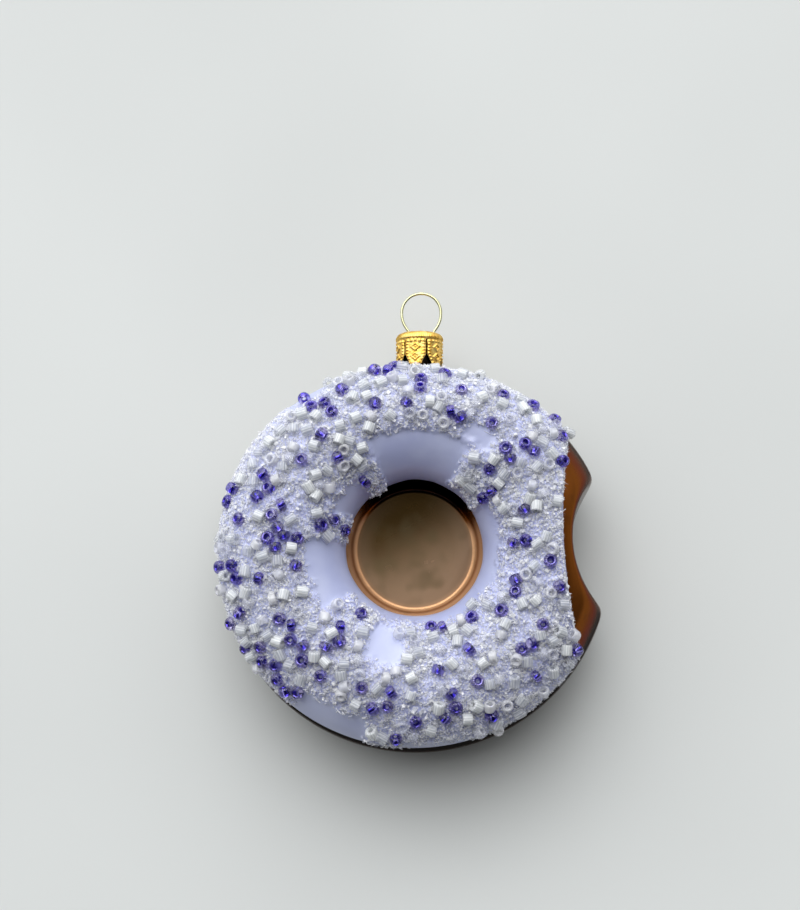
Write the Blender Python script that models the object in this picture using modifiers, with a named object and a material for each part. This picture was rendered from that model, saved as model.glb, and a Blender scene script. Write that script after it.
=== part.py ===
# A blown-glass tree ornament in the shape of a frosted ring doughnut with one bite taken.
# It lies on its back: +Z is the frosted face, +Y points to the hanging cap, +X to the bite.
# The origin lies on the surface it rests on, under the middle of the whole ornament.

import math
import random

import bmesh
import bpy
from mathutils import Matrix, Vector

MM = 0.001

# Ring doughnut of brown glass, in the plane of the doughnut's own centre
OUTER_RADIUS = 42.0 * MM
CREST_RADIUS = 28.5 * MM
WALL_RADIUS = 15.2 * MM
HOLE_SHIFT = 1.2 * MM            # the hole sits a little nearer the cap
RIM_FLAT = 1.9 * MM              # how far the rim is pressed in beside the neck
RIM_FLAT_ANGLE = math.radians(88)
RIM_FLAT_SPREAD = 1.35
RIM_FLAT_POWER = 1.7
CREST_HEIGHT = 32.0 * MM
EQUATOR_HEIGHT = 16.0 * MM
FOOT_CUT = 0.5 * MM              # how much of the round back is pressed flat
FLOOR_FILLET = 3.0 * MM
FRONT_FLOOR_HEIGHT = 16.8 * MM
BACK_FLOOR_HEIGHT = 13.0 * MM
FLOOR_DISH = 0.5 * MM            # both floors sink towards their middle

# Bite: an upright round cutter at the rim, wider at the front, with softened edges
BITE_RADIUS = 19.6 * MM
BITE_DISTANCE = 53.5 * MM
BITE_ANGLE = math.radians(3.2)
BITE_FLARE = 2.0 * MM            # how much wider the bite is at the front than at the back
BITE_SOFTNESS = 2.6 * MM

# Frosting: a lavender coat over the front half, with a crust of grit and beads set in it
COAT_GAP = 0.35 * MM
COAT_BITE_GAP = 0.3 * MM         # added under the coat where the bite's edge rounds over
COAT_THICKNESS = 0.8 * MM
CRUST_THICKNESS = 0.5 * MM       # added where grit covers the coat
COAT_OUTER_PHI = math.radians(25)
COAT_OUTER_RISE = math.radians(8)     # the coat ends this much higher on its lower right
COAT_INNER_PHI = math.radians(167)
COAT_WAVE = math.radians(2.5)
COAT_CUT_X = 30.4 * MM           # the coat stops short of the bite on a nearly straight line
COAT_CUT_Y = 5.5 * MM
COAT_CUT_BEND = 100.0 * MM

# Glass neck, stamped cap and wire loop
NECK_RADIUS = 4.2 * MM
NECK_BORE_RADIUS = 3.3 * MM
NECK_BORE_DEPTH = 5.0 * MM
NECK_HEADROOM = 1.1 * MM         # between the neck's end and the cap's top
NECK_FLARE_RADIUS = 6.0 * MM
NECK_FLARE_LENGTH = 3.2 * MM
CAP_RADIUS = 5.1 * MM
CAP_WALL = 0.45 * MM
CAP_LENGTH = 8.1 * MM
CAP_OFFSET = 1.0 * MM            # the cap and neck sit a little to the bite's side
CAP_START = 41.1 * MM            # the petal tips, from the doughnut's centre
CAP_SHOULDER = 1.6 * MM
CAP_CROWN = 0.35 * MM
CAP_PETALS = 6
CAP_SLOT_WIDTH = 0.4 * MM
CAP_SLOT_LENGTH = 5.8 * MM
CAP_NOTCH_WIDTH = 3.1 * MM
CAP_NOTCH_LENGTH = 2.4 * MM
CAP_FIRST_SLOT = math.radians(19)
WIRE_RADIUS = 0.32 * MM
LOOP_OFFSET = 1.4 * MM           # the loop leans further to the bite's side than the cap
LOOP_RADIUS = 4.3 * MM
LOOP_CENTRE = 53.6 * MM
LOOP_DROP = 4.1 * MM             # below its middle the loop narrows like an egg, down to its legs
LOOP_TAPER = 2.3
LEG_SPREAD = 2.8 * MM
LEG_TUCK = 0.5 * MM              # under the cap's top the legs step inwards, clear of the neck
LEG_TUCK_START = 48.6 * MM
LEG_TUCK_END = 47.6 * MM
LEG_END = 45.2 * MM
WIRE_HOLE_RADIUS = 0.68 * MM

# Beads: glass seed beads in purple, cut white beads
PURPLE_RADIUS = 1.4 * MM
PURPLE_LENGTH = 1.9 * MM
WHITE_RADIUS = 1.25 * MM
WHITE_LENGTH = 2.3 * MM
BEAD_SINK = 0.45 * MM
BEAD_SPACING = 2.6 * MM
RUN_STEP = 2.4 * MM              # between the middles of beads in a run
RUN_ZIGZAG = 0.8 * MM
SINGLE_PURPLES = 38
CUT_WHITES = 61
BEAD_SEED = 7

# Patches that stay bare: middle angle and half width in degrees, inner and outer radius in mm
BARE_PATCHES = (
    (88, 27, 12.0, 25.0),
    (143, 13, 12.0, 20.0),
    (196, 20, 12.0, 23.5),
    (250, 42, 12.0, 17.5),
    (253, 10, 18.8, 25.5),
    (243, 12, 36.0, 44.0),
    (276, 10, 38.8, 44.0),
    (358, 34, 12.0, 19.0),
    (134, 14, 39.0, 44.0),
    (60, 8, 25.0, 29.0),
)

# Runs of touching purple beads: middle angle in degrees, radius in mm, beads, heading in degrees
PURPLE_RUNS = (
    (2, 21.7, 2, 10),
    (35, 18.6, 2, 35),
    (41, 31.5, 2, 136),
    (45, 27.3, 2, 114),
    (51, 41.4, 2, 57),
    (73, 28.8, 2, 149),
    (88, 35.2, 2, 87),
    (99, 39.9, 3, 28),
    (124, 36.9, 4, 160),
    (158, 33.6, 3, 75),
    (160, 41.3, 4, 91),
    (165, 17.6, 3, 170),
    (170, 29.5, 4, 80),
    (178, 28.0, 4, 20),
    (186, 38.8, 3, 146),
    (217, 31.1, 5, 119),
    (218, 38.3, 4, 130),
    (229, 38.8, 2, 167),
    (230, 25.2, 3, 54),
    (259, 32.6, 3, 39),
    (283, 33.5, 3, 74),
    (285, 17.6, 2, 173),
    (318, 30.8, 2, 26),
    (338, 22.4, 2, 82),
)

# Mesh steps
TURN_STEPS = 64
FLOOR_STEPS = 2
FILLET_STEPS = 2
INNER_STEPS = 5
OUTER_STEPS = 7
BACK_STEPS = 4
COAT_TOP_STEPS = 11
COAT_UNDER_STEPS = 9
BITE_CROWDING = 0.38             # how much closer the turn steps lie beside the bite

# The bounding box: from the leftmost beads to the bite's corners, and from the lower rim to the loop's top
BOX_LEFT = -42.61 * MM
BOX_RIGHT = 39.85 * MM
BOX_FRONT = -42.0 * MM
BOX_BACK = LOOP_CENTRE + LOOP_RADIUS + WIRE_RADIUS


def smooth_step(low, high, value):
    share = min(max((value - low) / (high - low), 0.0), 1.0)
    return share * share * (3 - 2 * share)


def ring_profile(phi):
    """Radius and height of the ring's skin: phi is 0 at the outer rim, 90 degrees at the front crest."""
    outer = math.cos(phi) >= 0
    half = OUTER_RADIUS - CREST_RADIUS if outer else CREST_RADIUS - WALL_RADIUS
    radius = CREST_RADIUS + half * math.cos(phi)
    if math.sin(phi) >= 0:
        base = EQUATOR_HEIGHT if outer else FRONT_FLOOR_HEIGHT + FLOOR_FILLET
        return radius, base + (CREST_HEIGHT - base) * math.sin(phi)
    base = EQUATOR_HEIGHT if outer else BACK_FLOOR_HEIGHT - FLOOR_FILLET
    return radius, max(0.0, base + (base + FOOT_CUT) * math.sin(phi))


def bitten(x, y, height):
    """Pushes a point that the bite has taken back onto the bite's wall, with softened edges."""
    bite_x = BITE_DISTANCE * math.cos(BITE_ANGLE)
    bite_y = BITE_DISTANCE * math.sin(BITE_ANGLE)
    reach = BITE_RADIUS + BITE_FLARE * (height - EQUATOR_HEIGHT) / CREST_HEIGHT
    away = math.hypot(x - bite_x, y - bite_y)
    blend = max(BITE_SOFTNESS - abs(away - reach), 0.0) / BITE_SOFTNESS
    pushed = max(away, reach) + blend * blend * BITE_SOFTNESS / 4
    return bite_x + (x - bite_x) * pushed / away, bite_y + (y - bite_y) * pushed / away


def flattened(theta, radius):
    """The radius, with the rim pressed in beside the neck."""
    turn = abs((theta - RIM_FLAT_ANGLE + math.pi) % math.tau - math.pi)
    facing = math.cos(min(turn * RIM_FLAT_SPREAD, math.pi / 2)) ** RIM_FLAT_POWER
    outward = max(0.0, (radius - CREST_RADIUS) / (OUTER_RADIUS - CREST_RADIUS))
    return radius - RIM_FLAT * facing * outward


def placed(theta, radius, height):
    """The turned profile's point at an angle, with the hole shifted, the rim flattened and the bite taken."""
    inward = (OUTER_RADIUS - radius) / (OUTER_RADIUS - WALL_RADIUS)
    reach = flattened(theta, radius)
    x = reach * math.cos(theta)
    y = reach * math.sin(theta) + HOLE_SHIFT * min(inward, 1.0)
    x, y = bitten(x, y, height)
    return Vector((x, y, height))


def skin(theta, phi, lift=0.0):
    """A point on the ring's skin, or above it by lift along the skin's normal."""
    point = placed(theta, *ring_profile(phi))
    if not lift:
        return point
    return point + skin_normal(theta, phi) * lift


def skin_normal(theta, phi, step=0.01):
    along = placed(theta + step, *ring_profile(phi)) - placed(theta - step, *ring_profile(phi))
    around = placed(theta, *ring_profile(phi + step)) - placed(theta, *ring_profile(phi - step))
    return along.cross(around).normalized()


def phi_at(radius, lift=0.0):
    """The section angle on the front half at which the skin, raised by lift, has this radius."""
    half = OUTER_RADIUS - CREST_RADIUS if radius > CREST_RADIUS else CREST_RADIUS - WALL_RADIUS
    return math.acos(max(-1.0, min(1.0, (radius - CREST_RADIUS) / (half + lift))))


def turn_angle(step, steps):
    """Angles round the ring, crowded together beside the bite."""
    even = math.tau * step / steps
    return even - BITE_CROWDING * math.sin(even)


def body_section():
    """The turned profile from the front centre round to the back centre, as radius and height."""
    floor_radius = WALL_RADIUS - FLOOR_FILLET
    points = []
    for step in range(FLOOR_STEPS):
        share = step / FLOOR_STEPS
        points.append((floor_radius * share, FRONT_FLOOR_HEIGHT - FLOOR_DISH * (1 - share * share)))
    for step in range(FILLET_STEPS):
        turn = math.pi / 2 * step / FILLET_STEPS
        points.append((floor_radius + FLOOR_FILLET * math.sin(turn),
                       FRONT_FLOOR_HEIGHT + FLOOR_FILLET * (1 - math.cos(turn))))
    flat_outer = -math.asin(EQUATOR_HEIGHT / (EQUATOR_HEIGHT + FOOT_CUT))
    back_wall = BACK_FLOOR_HEIGHT - FLOOR_FILLET
    flat_inner = math.asin(back_wall / (back_wall + FOOT_CUT)) - math.pi
    stops = ((math.pi, math.pi / 2, INNER_STEPS), (math.pi / 2, 0.0, OUTER_STEPS),
             (0.0, flat_outer, BACK_STEPS), (flat_outer, flat_inner, 1), (flat_inner, -math.pi, BACK_STEPS))
    for start, end, steps in stops:
        points += [ring_profile(start + (end - start) * step / steps) for step in range(steps)]
    for step in range(FILLET_STEPS):
        turn = math.pi / 2 * (1 - step / FILLET_STEPS)
        points.append((floor_radius + FLOOR_FILLET * math.sin(turn),
                       BACK_FLOOR_HEIGHT - FLOOR_FILLET * (1 - math.cos(turn))))
    for step in range(FLOOR_STEPS + 1):
        share = 1 - step / FLOOR_STEPS
        points.append((floor_radius * share, BACK_FLOOR_HEIGHT - FLOOR_DISH * (1 - share * share)))
    return points


def coat_outer_phi(theta):
    """Where the coat ends on the outer side: at the rim, or at the cut line beside the bite."""
    end = math.cos(COAT_OUTER_PHI + COAT_OUTER_RISE * (1 + math.cos(theta + math.pi / 3)) / 2)
    if math.cos(theta) > 0.5:
        across = COAT_CUT_X * math.tan(theta) - COAT_CUT_Y
        cut = (COAT_CUT_X + across * across / (2 * COAT_CUT_BEND)) / math.cos(theta)
        end = min(end, (cut - CREST_RADIUS) / (OUTER_RADIUS - CREST_RADIUS))
    return math.acos(end)


def coat_inner_phi(theta):
    return COAT_INNER_PHI + COAT_WAVE * math.sin(2 * theta + 0.6) * math.cos(theta)


def bare(theta, radius):
    """1 on a bare patch of the coat, 0 where grit and beads cover it."""
    most = 0.0
    for middle, half, inner, outer in BARE_PATCHES:
        turn = abs((math.degrees(theta) - middle + 180) % 360 - 180)
        across = 1 - smooth_step(half - 3, half + 3, turn)
        along = (smooth_step(inner * MM - MM, inner * MM + MM, radius)
                 * (1 - smooth_step(outer * MM - MM, outer * MM + MM, radius)))
        most = max(most, across * along)
    return most


def coat_gap(theta, phi):
    """Height of the coat's underside above the glass."""
    point = placed(theta, *ring_profile(phi))
    bite = Vector((math.cos(BITE_ANGLE), math.sin(BITE_ANGLE))) * BITE_DISTANCE
    away = (point.to_2d() - bite).length - BITE_RADIUS
    return COAT_GAP + COAT_BITE_GAP * (1 - smooth_step(9 * MM, 15 * MM, away))


def coat_lift(theta, phi):
    """Height of the coat's top above the glass."""
    radius = ring_profile(phi)[0]
    return COAT_GAP + COAT_THICKNESS + CRUST_THICKNESS * (1 - bare(theta, radius))


def material(name, colour, roughness, metallic=0.0):
    made = bpy.data.materials.new(name)
    made.use_nodes = True
    shader = made.node_tree.nodes["Principled BSDF"]
    shader.inputs["Base Color"].default_value = (*colour, 1.0)
    shader.inputs["Roughness"].default_value = roughness
    shader.inputs["Metallic"].default_value = metallic
    return made


def add_object(name, mesh, collection, finish=None, matrix=None):
    added = bpy.data.objects.new(name, mesh)
    collection.objects.link(added)
    if finish:
        mesh.materials.append(finish)
    if matrix:
        added.matrix_world = matrix
    return added


def mesh_from(bm, name):
    mesh = bpy.data.meshes.new(name)
    bm.to_mesh(mesh)
    bm.free()
    return mesh


def combine(target, operation, others):
    """Joins or cuts target with every object in a collection, then removes those objects."""
    modifier = target.modifiers.new("combine", "BOOLEAN")
    modifier.operation = operation
    modifier.solver = "EXACT"
    modifier.operand_type = "COLLECTION"
    modifier.collection = others
    bpy.context.view_layer.update()
    evaluated = target.evaluated_get(bpy.context.evaluated_depsgraph_get())
    mesh = bpy.data.meshes.new_from_object(evaluated)
    target.modifiers.remove(modifier)
    target.data = mesh
    for other in list(others.objects):
        bpy.data.objects.remove(other)
    bpy.data.collections.remove(others)


def helper_collection(name):
    made = bpy.data.collections.new(name)
    bpy.context.scene.collection.children.link(made)
    return made


def along_y(distance):
    """Turns a shape made along Z to point along +Y, on the cap's axis."""
    foot = Matrix.Translation((CAP_OFFSET, distance, EQUATOR_HEIGHT))
    return foot @ Matrix.Rotation(-math.pi / 2, 4, "X")


def cone_mesh(name, lower, upper, length, sides):
    bm = bmesh.new()
    bmesh.ops.create_cone(bm, cap_ends=True, segments=sides, radius1=lower, radius2=upper, depth=length)
    return mesh_from(bm, name)


def glass_body(parts, finish):
    """The doughnut: a sphere's rings laid along the section, so front and back meet in the middle."""
    section = body_section()
    bm = bmesh.new()
    rings = len(section) - 1
    bmesh.ops.create_uvsphere(bm, u_segments=TURN_STEPS, v_segments=rings, radius=1)
    for vertex in bm.verts:
        ring = round(math.acos(max(-1.0, min(1.0, vertex.co.z))) / math.pi * rings)
        turn = round(math.atan2(vertex.co.y, vertex.co.x) / math.tau * TURN_STEPS)
        vertex.co = placed(turn_angle(turn, TURN_STEPS), *section[ring])
    body = add_object("glass_body", mesh_from(bm, "glass_body"), parts, finish)

    necks = helper_collection("necks")
    neck_start = OUTER_RADIUS - 4 * MM
    neck_end = CAP_START + CAP_LENGTH - CAP_WALL - NECK_HEADROOM
    length = neck_end - neck_start
    add_object("neck_tube", cone_mesh("neck_tube", NECK_RADIUS, NECK_RADIUS, length, 24), necks,
               matrix=along_y(neck_start + length / 2))
    add_object("neck_flare", cone_mesh("neck_flare", NECK_FLARE_RADIUS, NECK_RADIUS - 0.2 * MM,
                                       NECK_FLARE_LENGTH, 24), necks,
               matrix=along_y(OUTER_RADIUS - RIM_FLAT - NECK_FLARE_LENGTH / 2 + 0.7 * MM))
    combine(body, "UNION", necks)

    bores = helper_collection("bores")
    bore_length = 2 * NECK_BORE_DEPTH
    add_object("neck_bore", cone_mesh("neck_bore", NECK_BORE_RADIUS, NECK_BORE_RADIUS, bore_length, 20),
               bores, matrix=along_y(neck_end))
    combine(body, "DIFFERENCE", bores)
    return body


def coat_mesh():
    """The frosting coat: a torus whose section wraps the front of the ring with a thin layer."""
    minor = COAT_TOP_STEPS + COAT_UNDER_STEPS
    bpy.ops.mesh.primitive_torus_add(major_segments=TURN_STEPS, minor_segments=minor,
                                     major_radius=2, minor_radius=1)
    torus = bpy.context.object
    mesh = torus.data
    bpy.data.objects.remove(torus)
    for vertex in mesh.vertices:
        x, y, z = vertex.co
        turn = round(math.atan2(y, x) / math.tau * TURN_STEPS)
        step = round(math.atan2(z, math.hypot(x, y) - 2) / math.tau * minor) % minor
        theta = turn_angle(turn, TURN_STEPS)
        start, end = coat_outer_phi(theta), coat_inner_phi(theta)
        if step <= COAT_TOP_STEPS:
            share = 0.5 - 0.5 * math.cos(math.pi * step / COAT_TOP_STEPS)
            phi = start + (end - start) * share
            gap = coat_gap(theta, phi)
            lift = gap + (coat_lift(theta, phi) - gap) * math.sqrt(1 - (2 * share - 1) ** 12)
        else:
            share = (minor - step) / COAT_UNDER_STEPS
            phi = start + (end - start) * share
            lift = coat_gap(theta, phi)
        vertex.co = skin(theta, phi, lift)
    return mesh


def bead_seat(theta, radius, rise):
    """Where a bead's middle lies on the coat when that middle is rise above the coat's top."""
    lift = COAT_GAP + COAT_THICKNESS + CRUST_THICKNESS * (1 - bare(theta, radius)) + rise
    phi = phi_at(radius, lift)
    return skin(theta, phi, lift), skin_normal(theta, phi), phi


def on_coat(theta, phi, margin):
    """Whether a bead at this place stands on the coat, clear of its edges."""
    return coat_outer_phi(theta) + margin < phi < coat_inner_phi(theta) - margin


def tangent_frame(point, normal, spin, tilt):
    """A frame whose Z is the normal, leaned over by tilt and turned by spin."""
    upright = normal.to_track_quat("Z", "Y").to_matrix().to_4x4()
    return (Matrix.Translation(point) @ upright @ Matrix.Rotation(spin, 4, "Z")
            @ Matrix.Rotation(tilt, 4, "X"))


def clear_of_others(point, taken, spacing):
    return all((point - other).length > spacing for other in taken)


def clear_of_cap(point):
    return point.y < CAP_START - 2.2 * MM or abs(point.x - CAP_OFFSET) > CAP_RADIUS + 2 * MM or (
        point.z > EQUATOR_HEIGHT + CAP_RADIUS + 2 * MM)


def purple_beads(draw, taken):
    """Runs of touching purple beads, then single ones scattered over the crust."""
    beads = []
    rise = PURPLE_LENGTH / 2 - BEAD_SINK

    def try_bead(theta, radius, spacing):
        point, normal, phi = bead_seat(theta, radius, rise)
        if not on_coat(theta, phi, 0.1) or not clear_of_cap(point):
            return False
        if not clear_of_others(point, taken, spacing):
            return False
        lying = draw.random() < 0.35
        if lying:
            point = point + normal * (PURPLE_RADIUS - PURPLE_LENGTH / 2)
        tilt = math.pi / 2 if lying else draw.uniform(-0.35, 0.35)
        beads.append(tangent_frame(point, normal, draw.uniform(0, math.tau), tilt))
        taken.append(point)
        return True

    for middle, radius, count, heading in PURPLE_RUNS:
        centre = Matrix.Rotation(math.radians(middle), 2) @ Vector((radius * MM, 0))
        for number in range(count):
            along = (number - (count - 1) / 2) * RUN_STEP
            zigzag = (RUN_ZIGZAG if count > 2 else 0.0) * (-1) ** number
            spot = centre + Matrix.Rotation(math.radians(heading), 2) @ Vector((along, zigzag))
            try_bead(math.atan2(spot.y, spot.x), spot.length, BEAD_SPACING * 0.8)

    placed_singles = 0
    while placed_singles < SINGLE_PURPLES:
        theta = draw.uniform(0, math.tau)
        radius = math.sqrt(draw.uniform((16 * MM) ** 2, (42.5 * MM) ** 2))
        if bare(theta, radius) < 0.3 and try_bead(theta, radius, 4.6 * MM):
            placed_singles += 1
    return beads


def white_beads(draw, taken):
    """Cut white beads lying on the crust, most of them on one of their flat sides."""
    beads = []
    rise = WHITE_RADIUS * math.cos(math.pi / 6) - BEAD_SINK
    while len(beads) < CUT_WHITES:
        theta = draw.uniform(0, math.tau)
        radius = math.sqrt(draw.uniform((16 * MM) ** 2, (41.5 * MM) ** 2))
        point, normal, phi = bead_seat(theta, radius, rise)
        if bare(theta, radius) > 0.2 or not on_coat(theta, phi, 0.11) or not clear_of_cap(point):
            continue
        if not clear_of_others(point, taken, BEAD_SPACING):
            continue
        tilt = math.pi / 2 + draw.uniform(-0.3, 0.3)
        beads.append(tangent_frame(point, normal, draw.uniform(0, math.tau), tilt))
        taken.append(point)
    return beads


def frosting(parts, finish):
    """The coat with its beads fused on."""
    coat = add_object("beaded_frosting", coat_mesh(), parts, finish)
    toppings = helper_collection("toppings")
    draw = random.Random(BEAD_SEED)
    taken = []
    purple = cone_mesh("purple_bead", PURPLE_RADIUS, PURPLE_RADIUS, PURPLE_LENGTH, 6)
    for number, matrix in enumerate(purple_beads(draw, taken)):
        add_object(f"purple_bead_{number}", purple, toppings, matrix=matrix)
    white = cone_mesh("white_bead", WHITE_RADIUS, WHITE_RADIUS, WHITE_LENGTH, 6)
    for number, matrix in enumerate(white_beads(draw, taken)):
        add_object(f"white_bead_{number}", white, toppings, matrix=matrix)
    combine(coat, "UNION", toppings)
    return coat


def cap_profile():
    """Outside then inside of the cap's wall, from the petal tips over the shoulder to the middle."""
    outside, inside = [], []
    top = CAP_LENGTH
    for step in range(5):
        turn = math.pi / 2 * step / 4
        outside.append((CAP_RADIUS - CAP_SHOULDER * (1 - math.cos(turn)),
                        top - CAP_CROWN - CAP_SHOULDER * (1 - math.sin(turn))))
        inner_shoulder = CAP_SHOULDER - CAP_WALL
        inside.append((CAP_RADIUS - CAP_WALL - inner_shoulder * (1 - math.cos(turn)),
                       top - CAP_CROWN - CAP_WALL - inner_shoulder * (1 - math.sin(turn))))
    outside = [(CAP_RADIUS - 0.1 * MM, 0.0)] + outside + [(0.0, top)]
    inside = [(CAP_RADIUS - 0.1 * MM - CAP_WALL, 0.0)] + inside + [(0.0, top - CAP_WALL)]
    return outside[::-1] + inside


def add_slot_cutters(cutters, turn):
    """A slit between two petals, opening into a pointed notch at their tips."""
    reach = 3 * MM
    face = along_y(CAP_START) @ Matrix.Rotation(turn, 4, "Z") @ Matrix.Translation((0, CAP_RADIUS, 0))
    bm = bmesh.new()
    bmesh.ops.create_cube(bm, size=1)
    add_object("slit", mesh_from(bm, "slit"), cutters,
               matrix=face @ Matrix.Diagonal((CAP_SLOT_WIDTH, reach, 2 * CAP_SLOT_LENGTH, 1)))
    point_up = Matrix.Rotation(math.pi / 2, 4, "X")
    stretch = Matrix.Diagonal((CAP_NOTCH_WIDTH / math.sqrt(3), 1, CAP_NOTCH_LENGTH / 1.5, 1))
    add_object("notch", cone_mesh("notch", 1, 1, reach, 3), cutters,
               matrix=face @ Matrix.Translation((0, 0, CAP_NOTCH_LENGTH / 4)) @ stretch @ point_up)


def ornament_cap(parts, finish):
    """The stamped cap: a turned cup with six slits, and two holes in its top for the wire."""
    bm = bmesh.new()
    points = [bm.verts.new((radius, 0, height)) for radius, height in cap_profile()]
    for first, second in zip(points, points[1:]):
        bm.edges.new((first, second))
    cap = add_object("cap", mesh_from(bm, "cap"), parts, finish)
    turned = cap.modifiers.new("turn", "SCREW")
    turned.steps = turned.render_steps = 36
    turned.use_merge_vertices = True
    turned.merge_threshold = 0.00001
    turned.use_smooth_shade = False
    bpy.context.view_layer.update()
    mesh = bpy.data.meshes.new_from_object(cap.evaluated_get(bpy.context.evaluated_depsgraph_get()))
    cap.modifiers.remove(turned)
    bm = bmesh.new()
    bm.from_mesh(mesh)
    bmesh.ops.recalc_face_normals(bm, faces=bm.faces)
    bm.to_mesh(mesh)
    bm.free()
    cap.data = mesh
    cap.matrix_world = along_y(CAP_START)

    cutters = helper_collection("cap_cutters")
    for number in range(CAP_PETALS):
        add_slot_cutters(cutters, CAP_FIRST_SLOT + math.tau * number / CAP_PETALS)
    for side in (-1, 1):
        hole = cone_mesh(f"wire_hole_{side}", WIRE_HOLE_RADIUS, WIRE_HOLE_RADIUS, 4 * MM, 12)
        add_object(f"wire_hole_{side}", hole, cutters,
                   matrix=Matrix.Translation((LOOP_OFFSET - CAP_OFFSET + side * LEG_SPREAD, 0, 0))
                   @ along_y(CAP_START + CAP_LENGTH))
    combine(cap, "DIFFERENCE", cutters)
    return cap


def loop_route():
    """Centreline of the wire: up one leg, round the loop and down the other leg."""
    right = []
    for step in range(10):
        turn = math.pi / 2 * (1 - step / 10)
        right.append((LOOP_RADIUS * math.cos(turn), LOOP_CENTRE + LOOP_RADIUS * math.sin(turn)))
    for step in range(9):
        share = step / 8
        right.append((LOOP_RADIUS - (LOOP_RADIUS - LEG_SPREAD) * share ** LOOP_TAPER,
                      LOOP_CENTRE - LOOP_DROP * share))
    right += [(LEG_SPREAD, LEG_TUCK_START), (LEG_SPREAD - LEG_TUCK, LEG_TUCK_END),
              (LEG_SPREAD - LEG_TUCK, LEG_END)]
    left = [(-x, y) for x, y in right[:0:-1]]
    return [(x + LOOP_OFFSET, y, EQUATOR_HEIGHT) for x, y in left + right]


def wire_loop(parts, finish):
    curve = bpy.data.curves.new("wire_loop", "CURVE")
    curve.dimensions = "3D"
    curve.bevel_depth = WIRE_RADIUS
    curve.bevel_resolution = 2
    curve.use_fill_caps = True
    route = loop_route()
    spline = curve.splines.new("POLY")
    spline.points.add(len(route) - 1)
    for point, place in zip(spline.points, route):
        point.co = (*place, 1)
    loop = bpy.data.objects.new("wire_loop", curve)
    parts.objects.link(loop)
    curve.materials.append(finish)
    return loop


def main():
    for obj in list(bpy.data.objects):
        bpy.data.objects.remove(obj)
    parts = bpy.data.collections.new("doughnut_ornament")
    bpy.context.scene.collection.children.link(parts)

    copper_glass = material("copper_glass", (0.30, 0.14, 0.06), 0.12, 1.0)
    lavender = material("lavender_frosting", (0.45, 0.46, 0.68), 0.55)
    gold = material("gold_foil", (0.90, 0.62, 0.18), 0.3, 1.0)
    brass = material("pale_brass", (0.80, 0.76, 0.52), 0.2, 1.0)

    pieces = [glass_body(parts, copper_glass), frosting(parts, lavender),
              ornament_cap(parts, gold), wire_loop(parts, brass)]
    middle = bpy.data.objects.new("ornament", None)
    parts.objects.link(middle)
    middle.location = (-(BOX_LEFT + BOX_RIGHT) / 2, -(BOX_FRONT + BOX_BACK) / 2, 0)
    for piece in pieces:
        piece.parent = middle
        if piece.type == "MESH":
            piece.data.shade_smooth()
            piece.data.set_sharp_from_angle(angle=math.radians(40))


main()
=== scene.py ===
# A blown-glass tree ornament shaped like a frosted ring doughnut with a bite, lying on its back
import math
import random

import bmesh
import bpy
import numpy as np
from mathutils import Matrix, Vector, noise


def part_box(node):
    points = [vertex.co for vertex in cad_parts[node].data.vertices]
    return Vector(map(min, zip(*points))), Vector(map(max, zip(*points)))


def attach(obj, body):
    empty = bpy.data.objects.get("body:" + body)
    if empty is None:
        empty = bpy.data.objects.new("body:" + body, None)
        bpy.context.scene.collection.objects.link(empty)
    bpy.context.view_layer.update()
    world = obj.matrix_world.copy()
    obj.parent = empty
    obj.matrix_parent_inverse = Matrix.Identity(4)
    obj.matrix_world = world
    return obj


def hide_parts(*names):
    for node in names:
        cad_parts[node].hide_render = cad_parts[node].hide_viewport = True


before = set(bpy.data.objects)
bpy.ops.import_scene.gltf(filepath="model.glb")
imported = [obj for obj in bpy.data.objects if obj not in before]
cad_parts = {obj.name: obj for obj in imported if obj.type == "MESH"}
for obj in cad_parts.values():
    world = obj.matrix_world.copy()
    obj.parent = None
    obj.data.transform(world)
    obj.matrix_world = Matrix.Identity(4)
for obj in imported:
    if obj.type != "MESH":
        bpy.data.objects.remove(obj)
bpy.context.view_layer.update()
print("frame loaded")

mm = 0.001

# The doughnut itself, seen with the cap away from you; sizes in mm, angles in degrees
doughnut = {
    "outerRadius": 42.0,
    "crestRadius": 28.5,
    "wallRadius": 15.2,
    "holeShift": 1.2,          # towards the cap
    "rimFlat": 1.9,            # how far the rim is pressed in beside the neck
    "flatAngle": 88.0,
    "flatSpread": 1.35,
    "flatPower": 1.7,
    "crestHeight": 32.0,
    "equatorHeight": 16.0,
    "footCut": 0.5,            # pressed flat underneath
    "fillet": 3.0,
    "frontFloor": 16.8,
    "backFloor": 13.0,
    "backDish": 0.5,
    "dishRim": 17.3,           # where the front floor meets its wall
    "dishEdge": 12.3,
    "dishDepth": 0.7,
    "wallPull": 3.6,           # how long the wall keeps its slope below the frosting
    "floorPull": 1.35,
    "swell": 0.95,             # of the glass under the frosting's inner edge
    "swellAngles": (100.0, 150.0),
    "wallTop": 166.0,
    "crowding": 0.38,          # how much closer the columns stand beside the bite
    "turnSteps": 320,
    "ringSteps": 140,
}

bite = {
    "radius": 19.6,
    "distance": 53.5,
    "angle": 3.2,
    "flare": 2.0,
    "softness": 2.6,
}

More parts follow.
